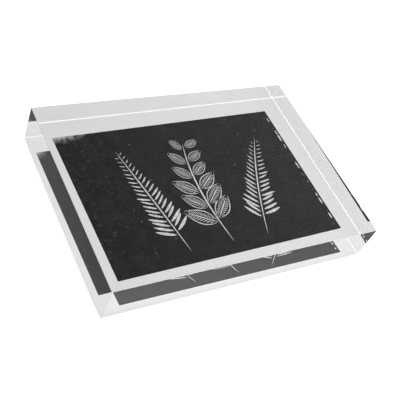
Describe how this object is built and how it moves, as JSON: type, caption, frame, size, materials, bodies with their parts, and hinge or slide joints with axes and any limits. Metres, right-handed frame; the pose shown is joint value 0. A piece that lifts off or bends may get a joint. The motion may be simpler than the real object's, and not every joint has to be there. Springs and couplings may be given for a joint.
{
  "type": "acrylic picture block",
  "caption": "Clear thick acrylic block, polished on every side, with a dark print bonded to its back face, a white backing and clear domed feet; it lies flat or stands on an edge.",
  "frame": {"origin": "middle of the plane that the four bumpers stand on, under the centre of the block", "axes": "+X along the block's long side, +Y towards the top of the picture, +Z out of the picture, up as the block lies on its back"},
  "size_m": [0.1778, 0.127, 0.0284],
  "materials": {
    "clear_acrylic": "polished",
    "clear_adhesive": "gloss",
    "black_ink": "matte",
    "white_paper": "matte",
    "white_backing": "satin",
    "clear_bumper": "gloss"
  },
  "bodies": {
    "root": {"acrylic_block": "clear_acrylic", "optical_adhesive": "clear_adhesive", "ink_layer": "black_ink", "print_sheet": "white_paper", "backing_adhesive": "clear_adhesive", "backing_sheet": "white_backing", "bumper_lower_left": "clear_bumper", "bumper_lower_right": "clear_bumper", "bumper_upper_left": "clear_bumper", "bumper_upper_right": "clear_bumper", "bumper_adhesive": "clear_adhesive"}
  },
  "joints": []
}
